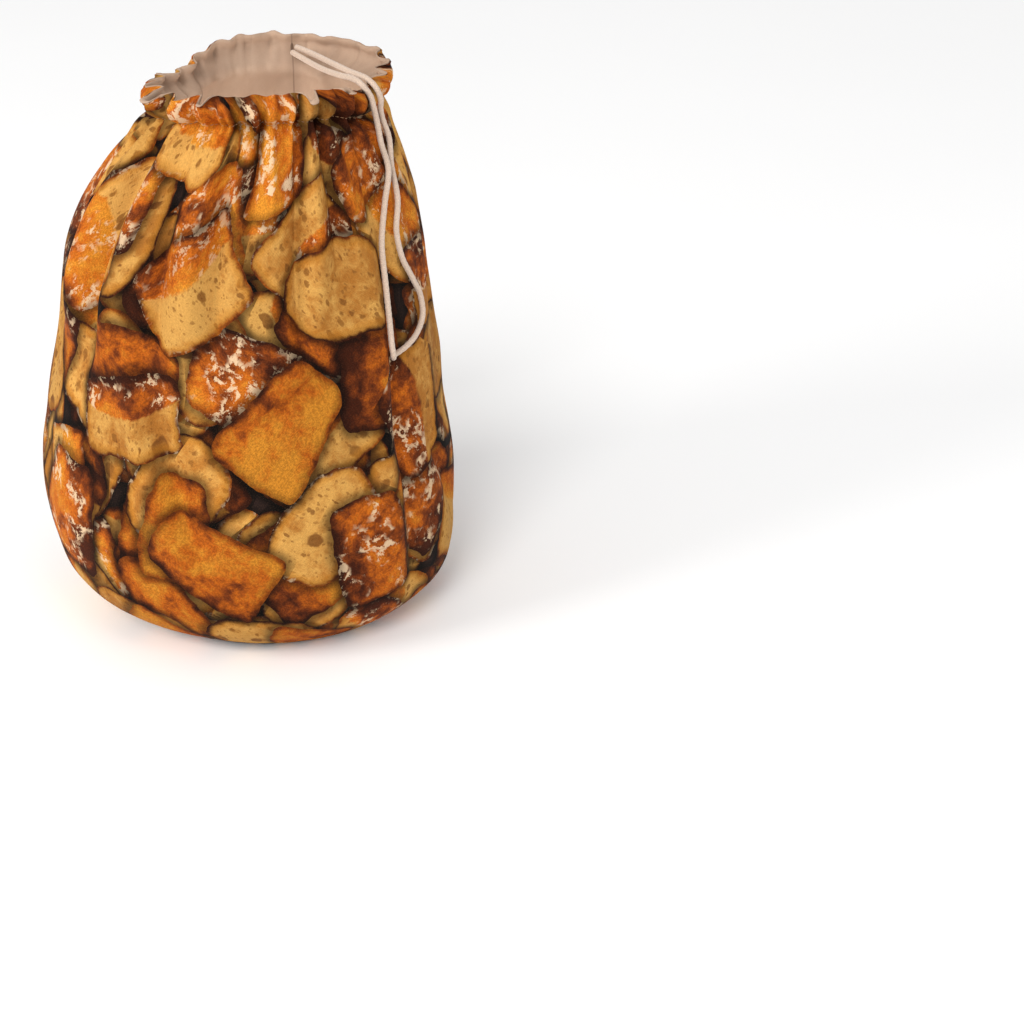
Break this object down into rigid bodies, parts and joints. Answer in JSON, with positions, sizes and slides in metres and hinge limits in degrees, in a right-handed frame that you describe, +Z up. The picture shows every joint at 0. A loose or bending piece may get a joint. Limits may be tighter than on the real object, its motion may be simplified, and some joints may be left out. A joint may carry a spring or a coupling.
{
  "type": "bread bag",
  "caption": "Round-bottomed cloth drawstring bag for bread, standing open, with a gathered mouth, a plain lining and a cord looped down its side.",
  "frame": {"origin": "middle of the round base's underside, where the bag stands", "axes": "+Z up through the mouth, -Y towards the front, +X to the viewer's right"},
  "size_m": [0.2626, 0.2474, 0.35],
  "materials": {
    "print_cloth": "printed plain-weave cotton, matt",
    "lining_cloth": "plain cream cotton, matt",
    "cord_cotton": "braided cream cotton, matt"
  },
  "bodies": {
    "root": {"wall": "print_cloth", "base": "print_cloth", "lining_wall": "lining_cloth", "lining_base": "lining_cloth", "drawcord": "cord_cotton"}
  },
  "joints": []
}
